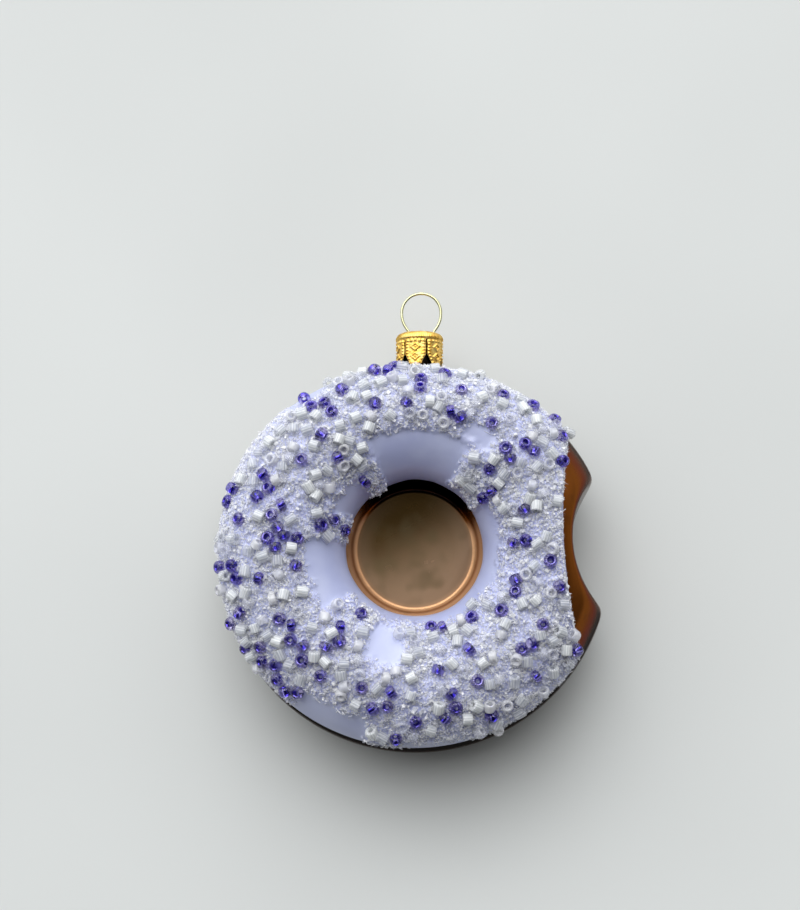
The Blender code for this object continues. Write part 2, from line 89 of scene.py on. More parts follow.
coat = {
    "gap": 0.35,
    "thickness": 0.8,          # with the gap, the height of plain frosting over the bare glass shape
    "crust": 0.5,
    "lip": 0.1,                # over the swollen glass at the inner edge
    "biteLip": 0.4,            # over the bare glass beside the bite
    # the rolled edge, as degrees past the outer edge and shares of its height
    "hem": ((1.2, -0.2), (1.8, 0.3), (1.2, 0.75)),
    "outerPhi": 25.0,
    "outerRise": 8.0,
    "innerPhi": 167.0,
    "wave": 2.5,
    "ripples": ((1.1, 3, 0.5), (0.8, 7, 0.0), (0.3, 17, 2.0)),  # of the inner edge, in degrees
    "cutX": 30.4,
    "cutY": 5.5,
    "cutBend": 100.0,
    "turnSteps": 560,
    "topSteps": 100,
}

hanger = {
    "capOffset": 1.0,
    "capStart": 41.1,
    "capLength": 8.1,
    "capRadius": 5.1,
    "shoulder": 1.6,
    "crown": 0.35,
    "petals": 6,
    "firstSlot": 19.0,
    "slotWidth": 0.4,
    "slotLength": 5.8,
    "notchWidth": 3.1,
    "notchLength": 2.4,
    "foil": 0.3,
    "neckRadius": 4.2,
    "neckBore": 3.3,
    "neckFlare": 6.0,
    "neckRoot": 4.4,           # how far inside the rim the neck starts
    "neckHeadroom": 1.55,
    "wireRadius": 0.32,
    "loopOffset": 1.4,
    "loopRadius": 4.3,
    "loopCentre": 53.6,
    "loopDrop": 4.1,
    "loopTaper": 2.3,
    "legSpread": 2.8,
    "legTuck": 0.5,
    "tuckStart": 48.6,
    "tuckEnd": 47.6,
    "legEnd": 45.2,
}

# Patches of frosting without beads or grit: middle angle, half width, inner and outer radius
plainPatches = (
    (88, 27, 12.0, 25.0),
    (143, 13, 12.0, 20.0),
    (196, 20, 12.0, 23.5),
    (250, 42, 12.0, 17.5),
    (253, 10, 18.8, 25.5),
    (243, 12, 36.0, 44.0),
    (276, 10, 38.8, 44.0),
    (358, 34, 12.0, 19.0),
    (60, 8, 25.0, 29.0),
)
beadlessPatches = plainPatches + ((134, 14, 39.0, 44.0),)
gritlessPatches = plainPatches + (
    (308, 20, 12.0, 18.5),
    (47, 16, 12.0, 16.3),
    (168, 12, 12.0, 15.8),
    (121, 9, 38.5, 44.0),
)

# Runs of touching purple beads: middle angle, radius, beads, heading
purpleRuns = (
    (2, 21.7, 2, 10),
    (35, 18.6, 2, 35),
    (41, 31.5, 2, 136),
    (45, 27.3, 2, 114),
    (51, 41.4, 2, 57),
    (73, 28.8, 2, 149),
    (88, 35.2, 2, 87),
    (99, 39.9, 3, 28),
    (124, 36.9, 4, 160),
    (158, 33.6, 3, 75),
    (160, 41.3, 4, 91),
    (165, 17.6, 3, 170),
    (170, 29.5, 4, 80),
    (178, 28.0, 4, 20),
    (186, 38.8, 3, 146),
    (217, 31.1, 5, 119),
    (218, 38.3, 4, 130),
    (229, 38.8, 2, 167),
    (230, 25.2, 3, 54),
    (259, 32.6, 3, 39),
    (283, 33.5, 3, 74),
    (285, 17.6, 2, 173),
    (318, 30.8, 2, 26),
    (338, 22.4, 2, 82),
)

beads = {
    "purpleRadius": 1.4,
    "purpleLength": 1.9,
    "purpleHole": 0.4,
    "whiteRadius": 1.25,
    "whiteLength": 2.3,
    "whiteHole": 0.45,
    "clearRadius": 1.3,
    "clearLength": 1.9,
    "clearHole": 0.55,
    "sink": 0.45,
    "spacing": 2.6,
    "runStep": 2.4,
    "runZigzag": 0.8,
    "singlePurples": 38,
    "cutWhites": 61,
    "moreWhites": 74,
    "clears": 84,
    "seed": 7,
}

# The doughnut's middle in the frame, read from the wire loop above it
loopLow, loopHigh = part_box("wire_loop")
home = Vector(((loopLow.x + loopHigh.x) / 2 - hanger["loopOffset"] * mm,
               loopHigh.y - (hanger["loopCentre"] + hanger["loopRadius"] + hanger["wireRadius"]) * mm, 0))


# Shapes, all in mm about the doughnut's own middle; every one takes single values or whole arrays

def smoothStep(low, high, value):
    share = np.clip((value - low) / (high - low), 0.0, 1.0)
    return share * share * (3 - 2 * share)


def ringProfile(phi):  # radius and height of the glass; phi is 0 at the rim and 90 degrees at the crest
    crest, equator, fillet = doughnut["crestRadius"], doughnut["equatorHeight"], doughnut["fillet"]
    outer = np.cos(phi) >= 0
    half = np.where(outer, doughnut["outerRadius"] - crest, crest - doughnut["wallRadius"])
    upper = np.where(outer, equator, doughnut["frontFloor"] + fillet)
    lower = np.where(outer, equator, doughnut["backFloor"] - fillet)
    above = upper + (doughnut["crestHeight"] - upper) * np.sin(phi)
    below = np.maximum(0.0, lower + (lower + doughnut["footCut"]) * np.sin(phi))
    return crest + half * np.cos(phi), np.where(np.sin(phi) >= 0, above, below)


biteX = bite["distance"] * math.cos(math.radians(bite["angle"]))
biteY = bite["distance"] * math.sin(math.radians(bite["angle"]))


def flattened(theta, radius):  # pressed in beside the neck
    turn = np.abs((theta - math.radians(doughnut["flatAngle"]) + math.pi) % math.tau - math.pi)
    facing = np.cos(np.minimum(turn * doughnut["flatSpread"], math.pi / 2)) ** doughnut["flatPower"]
    outward = (radius - doughnut["crestRadius"]) / (doughnut["outerRadius"] - doughnut["crestRadius"])
    return radius - doughnut["rimFlat"] * facing * np.maximum(outward, 0.0)


def placed(theta, radius, height):  # with the hole's shift, and pushed onto the wall of the bite
    inward = (doughnut["outerRadius"] - radius) / (doughnut["outerRadius"] - doughnut["wallRadius"])
    turned = flattened(theta, radius)
    x = turned * np.cos(theta)
    y = turned * np.sin(theta) + doughnut["holeShift"] * np.minimum(inward, 1.0)
    flare = bite["flare"] * (height - doughnut["equatorHeight"]) / doughnut["crestHeight"]
    reach = bite["radius"] + flare
    away = np.hypot(x - biteX, y - biteY)
    blend = np.maximum(bite["softness"] - np.abs(away - reach), 0.0) / bite["softness"]
    pushed = (np.maximum(away, reach) + blend * blend * bite["softness"] / 4) / away
    x, y = biteX + (x - biteX) * pushed, biteY + (y - biteY) * pushed
    return np.stack(np.broadcast_arrays(x, y, height), axis=-1)


def skinNormal(theta, phi, step=0.01):
    along = placed(theta + step, *ringProfile(phi)) - placed(theta - step, *ringProfile(phi))
    around = placed(theta, *ringProfile(phi + step)) - placed(theta, *ringProfile(phi - step))
    normal = np.cross(along, around)
    return normal / np.linalg.norm(normal, axis=-1, keepdims=True)


def skin(theta, phi, lift):
    return placed(theta, *ringProfile(phi)) + skinNormal(theta, phi) * np.asarray(lift)[..., None]


def phiAt(radius, lift=0.0):
    crest = doughnut["crestRadius"]
    half = np.where(radius > crest, doughnut["outerRadius"] - crest, crest - doughnut["wallRadius"])
    return np.arccos(np.clip((radius - crest) / (half + lift), -1.0, 1.0))


def coatOuterPhi(theta):
    rise = math.radians(coat["outerRise"]) * (1 + np.cos(theta + math.pi / 3)) / 2
    end = np.cos(math.radians(coat["outerPhi"]) + rise)
    facing = np.cos(theta) > 0.5
    turn = np.where(facing, theta, 0.0)
    across = coat["cutX"] * np.tan(turn) - coat["cutY"]
    cut = (coat["cutX"] + across * across / (2 * coat["cutBend"])) / np.cos(turn)
    beside = (cut - doughnut["crestRadius"]) / (doughnut["outerRadius"] - doughnut["crestRadius"])
    return np.arccos(np.where(facing, np.minimum(end, beside), end))


def coatInnerPhi(theta):
    return np.radians(coat["innerPhi"] + coat["wave"] * np.sin(2 * theta + 0.6) * np.cos(theta))


def bare(theta, radius, patches=beadlessPatches):  # 1 inside a patch, 0 outside them all
    most = 0.0
    for middle, half, inner, outer in patches:
        turn = np.abs((np.degrees(theta) - middle + 180) % 360 - 180)
        across = 1 - smoothStep(half - 3, half + 3, turn)
        along = smoothStep(inner - 1, inner + 1, radius) * (1 - smoothStep(outer - 1, outer + 1, radius))
        most = np.maximum(most, across * along)
    return most


def clouds(points, size):  # smooth noise, one value for each point
    rows = np.asarray(points).reshape(-1, 3) / size
    return np.array([noise.noise(row) for row in rows]).reshape(np.shape(points)[:-1])


def raggedBare(theta, radius):  # where the grit stays off, with torn edges
    spot = np.stack([radius * np.cos(theta), radius * np.sin(theta), 0 * radius], axis=-1)
    stray = clouds(spot, 2.2) * 0.9 + clouds(spot, 0.75) * 0.6
    return bare(theta + stray / radius, radius + stray, gritlessPatches)


# Helpers that make pieces

def joinPiece(name, mesh, finish, replaced, smooth=True, sharp=None):
    mesh.update()
    piece = bpy.data.objects.new(name, mesh)
    bpy.context.scene.collection.objects.link(piece)
    piece.location = home
    mesh.materials.append(finish)
    if smooth:
        mesh.shade_smooth()
    if sharp:
        mesh.set_sharp_from_angle(angle=math.radians(sharp))
    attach(piece, "root")
    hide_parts(replaced)
    return piece


def gridMesh(name, rows, closedRows=False):  # faces over rows of points that close into rings
    count, columns = rows.shape[:2]
    numbers = np.arange(count * columns).reshape(count, columns)
    upper = np.roll(numbers, -1, axis=0) if closedRows else numbers[1:]
    lower = numbers[:len(upper)]
    faces = np.stack([lower, np.roll(lower, -1, axis=1), np.roll(upper, -1, axis=1), upper], axis=-1)
    mesh = bpy.data.meshes.new(name)
    mesh.from_pydata((rows.reshape(-1, 3) * mm).tolist(), [], faces.reshape(-1, 4).tolist())
    return mesh


def paintValue(mesh, name, values):
    mesh.attributes.new(name, "FLOAT", "POINT").data.foreach_set("value", values)


# Materials

class Signal:  # a node's output that can be added to, multiplied and so on
    def __init__(self, finish, output):
        self.finish = finish
        self.output = output

    def math(self, operation, first, second):
        return self.finish.add("ShaderNodeMath", {"operation": operation}, {0: first, 1: second})

    def __add__(self, other):
        return self.math("ADD", self, other)

    def __radd__(self, other):
        return self.math("ADD", other, self)

    def __sub__(self, other):
        return self.math("SUBTRACT", self, other)

    def __rsub__(self, other):
        return self.math("SUBTRACT", other, self)

    def __mul__(self, other):
        return self.math("MULTIPLY", self, other)

    def __rmul__(self, other):
        return self.math("MULTIPLY", other, self)

    def __pow__(self, other):
        return self.math("POWER", self, other)

    def between(self, low, high, fromLow=0.0, fromHigh=1.0):
        return self.finish.add("ShaderNodeMapRange", {"interpolation_type": "SMOOTHSTEP"},
                               {"Value": self, "From Min": fromLow, "From Max": fromHigh,
                                "To Min": low, "To Max": high})


class Finish:  # one material: fixed values on the shader, and nodes for what varies
    def __init__(self, name, fixed):
        self.material = bpy.data.materials.new(name)
        self.material.use_nodes = True
        self.tree = self.material.node_tree
        self.shader = self.tree.nodes["Principled BSDF"]
        for socket, value in fixed.items():
            self.shader.inputs[socket].default_value = value

    def add(self, kind, settings, inputs, output=0):
        node = self.tree.nodes.new(kind)
        for key, value in settings.items():
            if key == "stops":
                ramp = node.color_ramp
                while len(ramp.elements) < len(value):
                    ramp.elements.new(0.5)
                for element, (place, colour) in zip(ramp.elements, value):
                    element.position = place
                    element.color = colour
            else:
                setattr(node, key, value)
        for key, value in inputs.items():
            self.feed(node.inputs[key], value)
        return Signal(self, node.outputs[output])

    def feed(self, socket, value):
        if isinstance(value, Signal):
            self.tree.links.new(value.output, socket)
        else:
            socket.default_value = value

    def drive(self, socket, value):
        self.feed(self.shader.inputs[socket], value)

    def place(self):
        return self.add("ShaderNodeTexCoord", {}, {}, "Object")

    def value(self, name):
        return self.add("ShaderNodeAttribute", {"attribute_name": name}, {}, "Fac")

    def cloud(self, size, detail):  # size is in mm
        return self.add("ShaderNodeTexNoise", {}, {"Vector": self.place(), "Scale": 1 / (size * mm),
                                                   "Detail": detail}, "Fac")

    def mix(self, share, first, second):
        return self.add("ShaderNodeMix", {"data_type": "RGBA"}, {0: share, 6: first, 7: second}, 2)

    def bump(self, height, depth):  # depth is in mm
        self.drive("Normal", self.add("ShaderNodeBump", {}, {"Height": height, "Distance": depth * mm,
                                                             "Strength": 1.0}))


def colour(red, green, blue):
    return (red, green, blue, 1.0)


def copperGlass():
    made = Finish("copper_glass", {"Specular Tint": colour(0.12, 0.06, 0.03), "Specular IOR Level": 0.3})
    stain = made.cloud(3.0, 5.0)
    tone, disc = made.value("tone"), made.value("disc")
    # the painted shading held in tone picks the colour: near black where shade is painted, through brown,
    # to copper where light is painted
    copper = made.add("ShaderNodeValToRGB", {"stops": ((0.0, colour(0.008, 0.005, 0.004)),
                                                       (0.2, colour(0.09, 0.025, 0.005)),
                                                       (0.5, colour(0.20, 0.06, 0.009)),
                                                       (1.0, colour(0.66, 0.37, 0.19)))}, {"Fac": tone})
    # random stains over the painted shading
    stainedPaintedShading = made.mix(stain.between(0.0, 0.25, 0.5, 0.75), copper, colour(0.08, 0.03, 0.010))
    # the recess's disc: painted shade and reflection, dark to pale by tone, with random olive blotches
    discPaintedShadingAndBlotches = made.mix(tone, colour(0.045, 0.026, 0.008), colour(0.21, 0.14, 0.09))
    olive = made.cloud(5.0, 1.0).between(0.0, 0.6, 0.45, 0.75)
    discPaintedShadingAndBlotches = made.mix(olive, discPaintedShadingAndBlotches, colour(0.075, 0.055, 0.028))
    made.drive("Base Color", made.mix(disc, stainedPaintedShading, discPaintedShadingAndBlotches))
    made.drive("Metallic", 1 - tone * 0.7 - disc * 0.2)
    made.drive("Roughness", disc * 0.1 + stain * 0.05 + 0.14)
    made.bump(made.cloud(16.0, 1.0), 0.2)
    return made.material


def lavenderFrosting():
    made = Finish("lavender_frosting", {"Coat Weight": 0.5, "Coat Roughness": 0.3})
    blotch = made.cloud(7.0, 4.0)
    grain = made.cloud(0.5, 2.0)
    plain = made.mix(blotch.between(0.0, 1.0, 0.3, 0.7),
                     colour(0.41, 0.445, 0.67), colour(0.48, 0.515, 0.72))
    glued = made.mix(grain.between(0.0, 1.0, 0.35, 0.65),
                     colour(0.34, 0.36, 0.60), colour(0.58, 0.61, 0.84))
    made.drive("Base Color", made.mix(made.value("crust"), plain, glued))
    made.drive("Roughness", blotch.between(0.38, 0.5, 0.3, 0.7))
    made.bump(made.cloud(1.2, 3.0) * made.value("crust") + made.cloud(5.0, 2.0) * 0.3, 0.25)
    return made.material


def clearGrit():
    made = Finish("clear_grit", {"Roughness": 0.06, "IOR": 1.65})
    tone = made.value("tone")
    made.drive("Base Color", made.mix(tone, colour(0.74, 0.76, 0.86), colour(0.97, 0.97, 0.98)))
    made.drive("Alpha", tone.between(0.15, 0.62))
    return made.material


def purpleGlass():  # pale glass round a deep violet lining
    made = Finish("purple_glass", {"Roughness": 0.02, "IOR": 1.5, "Transmission Weight": 1.0})
    tone = made.value("tone")
    glass = made.mix(tone, colour(0.33, 0.26, 0.97), colour(0.74, 0.68, 1.0))
    lining = made.mix(tone, colour(0.025, 0.012, 0.30), colour(0.10, 0.06, 0.62))
    made.drive("Base Color", made.mix(made.value("mark"), glass, lining))
    made.drive("Metallic", made.value("mark") * 0.6)
    return made.material


def satinWhite():
    made = Finish("satin_white", {"IOR": 1.5, "Coat Weight": 0.2, "Coat Roughness": 0.1,
                                  "Subsurface Weight": 0.85, "Subsurface Scale": 0.0012,
                                  "Subsurface Radius": (1.0, 1.0, 1.0)})
    tone = made.value("tone")
    stripe = made.add("ShaderNodeMath", {"operation": "SINE"}, {0: made.value("mark") * 14.0}) * 0.5 + 0.5
    pale = made.mix(tone, colour(0.60, 0.63, 0.70), colour(0.78, 0.81, 0.83))
    made.drive("Base Color", made.mix(stripe ** 3.0 * 0.7, pale, colour(0.99, 0.99, 0.99)))
    made.drive("Roughness", stripe * 0.1 + 0.2)
    made.drive("Alpha", tone.between(0.3, 0.7) + stripe * 0.12)
    made.bump(stripe, 0.05)
    return made.material


def clearBead():
    made = Finish("clear_bead_glass", {"Roughness": 0.05, "IOR": 1.45, "Transmission Weight": 0.5})
    tone = made.value("tone")
    made.drive("Base Color", made.mix(tone, colour(0.80, 0.82, 0.93), colour(0.97, 0.97, 0.98)))
    made.drive("Alpha", tone.between(0.4, 0.8))
    return made.material


def goldFoil():
    made = Finish("gold_foil", {"Metallic": 1.0})
    wear = made.cloud(1.5, 4.0)
    made.drive("Base Color", made.mix(wear.between(0.0, 1.0, 0.35, 0.7), colour(0.88, 0.52, 0.10),
                                      colour(0.98, 0.70, 0.22)))
    made.drive("Roughness", wear.between(0.26, 0.42, 0.3, 0.7))
    made.bump(made.cloud(0.5, 3.0), 0.16)
    return made.material


def paleBrass():
    made = Finish("pale_brass", {"Metallic": 1.0})
    dull = made.cloud(2.0, 3.0)
    made.drive("Base Color", made.mix(dull, colour(0.44, 0.43, 0.24), colour(0.66, 0.65, 0.42)))
    made.drive("Roughness", dull.between(0.14, 0.28, 0.3, 0.7))
    return made.material


# The glass doughnut with its neck

def turnAngles(steps):  # angles crowded together beside the bite
    even = math.tau * np.arange(steps) / steps
    return even - doughnut["crowding"] * np.sin(even)


def frontWall(top, slope):  # from the middle of the dished floor out, and up to the frosting
    rim, edge, discSteps, wallSteps = doughnut["dishRim"], doughnut["dishEdge"], 16, 24
    points = []
    for step in range(discSteps):
        share = step / discSteps
        points.append((edge * share, rim - doughnut["dishDepth"] * (1 - share ** 2)))
    pulls = ((edge, rim), (edge + doughnut["floorPull"], rim),
             tuple(top - slope * doughnut["wallPull"]), tuple(top))
    for step in range(wallSteps):
        share = step / wallSteps
        rest = 1 - share
        weights = (rest ** 3, 3 * rest ** 2 * share, 3 * rest * share ** 2, share ** 3)
        points.append(tuple(sum(w * pull[axis] for w, pull in zip(weights, pulls)) for axis in (0, 1)))
    return points


def glassRows(theta):
    start, step = math.radians(doughnut["wallTop"]), 0.01
    slope = np.array(ringProfile(start - step)) - np.array(ringProfile(start + step))
    slope /= np.linalg.norm(slope)
    top = np.array(ringProfile(start)) + doughnut["swell"] * np.array((-slope[1], slope[0]))
    rows = [placed(theta, r, z + 0 * theta) for r, z in frontWall(top, slope)]
    low, high = np.radians(doughnut["swellAngles"])
    for phi in np.linspace(start, -math.pi, doughnut["ringSteps"]):
        swell = doughnut["swell"] * smoothStep(low, high, phi)
        rows.append(skin(theta, phi + 0 * theta, swell + 0 * theta))
    back, fillet = doughnut["backFloor"], doughnut["fillet"]
    floor, filletSteps, floorSteps = doughnut["wallRadius"] - fillet, 10, 14
    for step in range(filletSteps - 1, -1, -1):
        turn = math.pi / 2 * step / filletSteps
        height = back - fillet * (1 - math.cos(turn))
        rows.append(placed(theta, floor + fillet * math.sin(turn), height + 0 * theta))
    for step in range(floorSteps - 1, -1, -1):
        share = step / floorSteps
        height = back - doughnut["backDish"] * (1 - share * share)
        rows.append(placed(theta, floor * share, height + 0 * theta))
    return np.array(rows)


# Painted shading on the glass, 0 black to 1 copper: painted shade where the glass should lie dark,
# painted reflection where it should look lit; in mm, and degrees round the hole
paintedShading = {
    "farSide": 86,             # painted shade: the recess's far wall, turned from the light, is painted black there
    "farSpan": (38, 74),
    "ring": (13.5, 0.3, 0.3),  # a dark line painted round the wall as a reflection: radius, width, depth
    "discLean": (0.5, -0.9),   # painted reflection: the floor's disc is painted paler this way
    "discSpan": (-9.0, 12.0),
    "discGain": 0.9,
    # painted reflection: the disc is painted paler towards its left and right edges
    "discEdge": (8.0, 12.0, 0.35),
    # painted shade: away from the bite the outer wall stays near black, the glass's dark brown painted
    # darker as if in shadow
    "outside": 0.12,
    "biteGain": 0.36,
    "biteWall": (0.4, 1.6),    # distances from the bite's wall, then heights on it and beside it; below them the glass is painted dark as shade
    "wallHeights": (7.0, 15.0),
    "besideHeights": (19.5, 25.0),
    "biteReach": (9.0, 14.0),
}


# Painted shading in the recess: the far wall painted black as shade, a dark ring painted round the wall,
# and the disc painted paler towards the near right and its side edges, as reflections
def recessPaintedShading(x, y):
    inward = math.hypot(x, y)
    disc = 1 - smoothStep(-0.1, 0.3, inward - doughnut["dishEdge"])
    low, high, gain = paintedShading["discEdge"]
    edge = gain * smoothStep(low, high, inward) * (x / inward) ** 2 if inward else 0.0
    lean = paintedShading["discLean"][0] * x + paintedShading["discLean"][1] * y
    # painted reflection on the disc
    floor = paintedShading["discGain"] * smoothStep(*paintedShading["discSpan"], lean) + edge
    turn = abs((math.degrees(math.atan2(y, x)) - paintedShading["farSide"] + 180) % 360 - 180)
    radius, width, depth = paintedShading["ring"]
    # painted dark ring round the wall, and painted black shade on the wall's far side
    line = 1 - depth * math.exp(-((inward - radius) / width) ** 2)
    wall = line * smoothStep(*paintedShading["farSpan"], turn)
    return float(disc * floor + (1 - disc) * wall), float(disc)


def glassPaintedShading(point):  # painted shading of the glass, 0 dark to 1 pale, and 1 on the disc of the recess's floor
    x, y, z = (value / mm for value in point)
    if math.hypot(x, y - doughnut["holeShift"]) < doughnut["crestRadius"]:
        return recessPaintedShading(x, y - doughnut["holeShift"])
    past = math.hypot(x - biteX, y - biteY) - bite["radius"]
    past -= bite["flare"] * (z - doughnut["equatorHeight"]) / doughnut["crestHeight"]
    onWall = 1 - smoothStep(*paintedShading["biteWall"], past)
    # painted shade: the bite's wall darker lower down, the glass beside it darker below the frosting's
    # edge, and the outer wall far from the bite near black
    tone = onWall * smoothStep(*paintedShading["wallHeights"], z)
    tone += (1 - onWall) * smoothStep(*paintedShading["besideHeights"], z)
    near = 1 - smoothStep(*paintedShading["biteReach"], past)
    return float(paintedShading["outside"] + paintedShading["biteGain"] * tone * near), 0.0


def makeGlass():
    rows = glassRows(turnAngles(doughnut["turnSteps"]))
    mesh = gridMesh("glass_doughnut", rows)
    bm = bmesh.new()
    bm.from_mesh(mesh)
    toneLayer, discLayer = (bm.verts.layers.float.new(name) for name in ("tone", "disc"))
    # paint the shade and reflection into tone, and mark the recess's disc in disc
    for vertex in bm.verts:
        vertex[toneLayer], vertex[discLayer] = glassPaintedShading(vertex.co)
    bmesh.ops.remove_doubles(bm, verts=bm.verts, dist=1e-6)
    bmesh.ops.recalc_face_normals(bm, faces=bm.faces)
    addNeck(bm)
    bm.to_mesh(mesh)
    bm.free()
    joinPiece("glass_doughnut", mesh, copperGlass(), "glass_body")


def addNeck(bm):  # a turned tube that flares into the rim, open at its end
    start = doughnut["outerRadius"] - doughnut["rimFlat"] - hanger["neckRoot"]
    end = hanger["capStart"] + hanger["capLength"] - hanger["neckHeadroom"]
    rim, bore, flare = hanger["neckRadius"], hanger["neckBore"], hanger["neckFlare"]
    outline = [(flare, start)]
    for step in range(11):
        turn = math.pi / 2 * step / 10
        outline.append((flare - (flare - rim) * math.sin(turn), start + 3.4 + 2.0 * (1 - math.cos(turn))))
    outline += [(rim, end - 0.3), (rim - 0.3, end), (bore + 0.2, end), (bore, end - 0.2)]
    outline += [(bore, end - 5), (0, end - 5)]
    profile = [bm.verts.new((radius * mm, 0, 0)) for radius, _ in outline]
    for vertex, (radius, y) in zip(profile, outline):
        vertex.co = Vector((hanger["capOffset"] + radius, y, doughnut["equatorHeight"])) * mm
    edges = [bm.edges.new(pair) for pair in zip(profile, profile[1:])]
    axis = Vector((hanger["capOffset"], 0, doughnut["equatorHeight"])) * mm
    bmesh.ops.spin(bm, geom=profile + edges, cent=axis, axis=(0, 1, 0), angle=math.tau, steps=64)
    loose = [vertex for vertex in bm.verts if vertex.co.y > start * mm and not vertex.is_manifold]
    bmesh.ops.remove_doubles(bm, verts=loose, dist=1e-7)
    bmesh.ops.recalc_face_normals(bm, faces=bm.faces)


makeGlass()
print("glass made")


# The lavender coat

def outerLip(theta):  # how high the coat's outer edge stands over the glass, thinner beside the bite
    plain = coat["gap"] + coat["thickness"]
    cut = smoothStep(math.radians(40), math.radians(60), coatOuterPhi(theta))
    return plain + (coat["biteLip"] - plain) * cut


def coatGrid():  # rows of points from the outer edge to the inner, with how crusted and rough each is
    theta = turnAngles(coat["turnSteps"])
    ripple = sum(high * np.sin(waves * theta + shift) for high, waves, shift in coat["ripples"])
    start, end = coatOuterPhi(theta), coatInnerPhi(theta) + np.radians(ripple)
    share = 0.5 - 0.5 * np.cos(math.pi * np.arange(coat["topSteps"] + 1) / coat["topSteps"])[:, None]
    phi = start + (end - start) * share
    theta = theta + 0 * phi
    crust = 1 - raggedBare(theta, ringProfile(phi)[0])
    full = coat["gap"] + coat["thickness"] + coat["crust"] * crust
    nearOuter, nearInner = 1 - smoothStep(0.0, 0.035, share), smoothStep(0.96, 1.0, share)
    lift = full + (outerLip(theta) - full) * nearOuter
    lift = lift + (doughnut["swell"] + coat["lip"] - lift) * nearInner
    rough = crust * (1 - nearInner) * (0.35 + 0.65 * smoothStep(math.radians(28), math.radians(62), phi))
    points = skin(theta, phi, lift)
    lumps = np.maximum(clouds(points, 1.8) * 0.7 + clouds(points, 0.7) * 0.45, -0.4)
    normals = skinNormal(theta, phi)
    points = points + normals * (lumps * rough * (1 - nearOuter) * 0.8)[..., None]
    return theta, phi, points, normals, crust, rough


coatTheta, coatPhi, coatPoints, coatNormals, coatCrust, coatRough = coatGrid()


def makeFrosting():
    theta = coatTheta[0]
    hems = [skin(theta, coatPhi[-1], doughnut["swell"] - 0.4 + 0 * theta)]
    for past, share in coat["hem"]:
        hems.append(skin(theta, coatPhi[0] - math.radians(past), outerLip(theta) * share))
    rows = np.concatenate([coatPoints, np.array(hems)])
    mesh = gridMesh("frosting", rows, closedRows=True)
    paintValue(mesh, "crust", np.concatenate([coatCrust, 0 * coatCrust[:len(hems)]]).ravel().tolist())
    joinPiece("frosting", mesh, lavenderFrosting(), "beaded_frosting")


makeFrosting()
print("frosting made")


# Beads, laid by the same rule and the same draws as the solid ones

draw = random.Random(beads["seed"])
taken = []


def beadSeat(theta, radius, rise):
    lift = coat["gap"] + coat["thickness"] + coat["crust"] * (1 - bare(theta, radius)) + rise
    phi = float(phiAt(radius, lift))
    return Vector(skin(theta, phi, lift)), Vector(skinNormal(theta, phi)), phi


def onCoat(theta, phi, margin):
    return coatOuterPhi(theta) + margin < phi < coatInnerPhi(theta) - margin


def clearOfCap(point):
    aside = abs(point.x - hanger["capOffset"]) > hanger["capRadius"] + 2
    above = point.z > doughnut["equatorHeight"] + hanger["capRadius"] + 2
    return point.y < hanger["capStart"] - 2.2 or aside or above


def clearOfOthers(point, spacing):
    return all((point - other).length > spacing for other in taken)


def leanedFrame(point, normal, spin, tilt):
    upright = normal.to_track_quat("Z", "Y").to_matrix().to_4x4()
    lean = Matrix.Rotation(spin, 4, "Z") @ Matrix.Rotation(tilt, 4, "X")
    return Matrix.Translation(point) @ upright @ lean


def tryPurple(places, theta, radius, spacing):
    point, normal, phi = beadSeat(theta, radius, beads["purpleLength"] / 2 - beads["sink"])
    if not onCoat(theta, phi, 0.1) or not clearOfCap(point) or not clearOfOthers(point, spacing):
        return False
    lying = draw.random() < 0.35
    if lying:
        point = point + normal * (beads["purpleRadius"] - beads["purpleLength"] / 2)
    tilt = math.pi / 2 if lying else draw.uniform(-0.35, 0.35)
    places.append(leanedFrame(point, normal, draw.uniform(0, math.tau), tilt))
    taken.append(point)
    return True


def randomSpot(outer):
    theta = draw.uniform(0, math.tau)
    return theta, math.sqrt(draw.uniform(16 ** 2, outer ** 2))


def purplePlaces():
    places = []
    for middle, radius, count, heading in purpleRuns:
        centre = Matrix.Rotation(math.radians(middle), 2) @ Vector((radius, 0))
        for number in range(count):
            along = (number - (count - 1) / 2) * beads["runStep"]
            zigzag = (beads["runZigzag"] if count > 2 else 0.0) * (-1) ** number
            spot = centre + Matrix.Rotation(math.radians(heading), 2) @ Vector((along, zigzag))
            tryPurple(places, math.atan2(spot.y, spot.x), spot.length, beads["spacing"] * 0.8)
    singles = 0
    while singles < beads["singlePurples"]:
        theta, radius = randomSpot(42.5)
        if bare(theta, radius) < 0.3 and tryPurple(places, theta, radius, 4.6):
            singles += 1
    return places


def whitePlaces(count, halfHeight, spacing):
    places = []
    tries = 0
    while len(places) < count and tries < 40000:
        tries += 1
        theta, radius = randomSpot(41.5)
        point, normal, phi = beadSeat(theta, radius, halfHeight - beads["sink"])
        if bare(theta, radius) > 0.2 or not onCoat(theta, phi, 0.11) or not clearOfCap(point):
            continue
        if not clearOfOthers(point, spacing):
            continue
        tilt = math.pi / 2 + draw.uniform(-0.3, 0.3)
        places.append(leanedFrame(point, normal, draw.uniform(0, math.tau), tilt))
        taken.append(point)
    return places


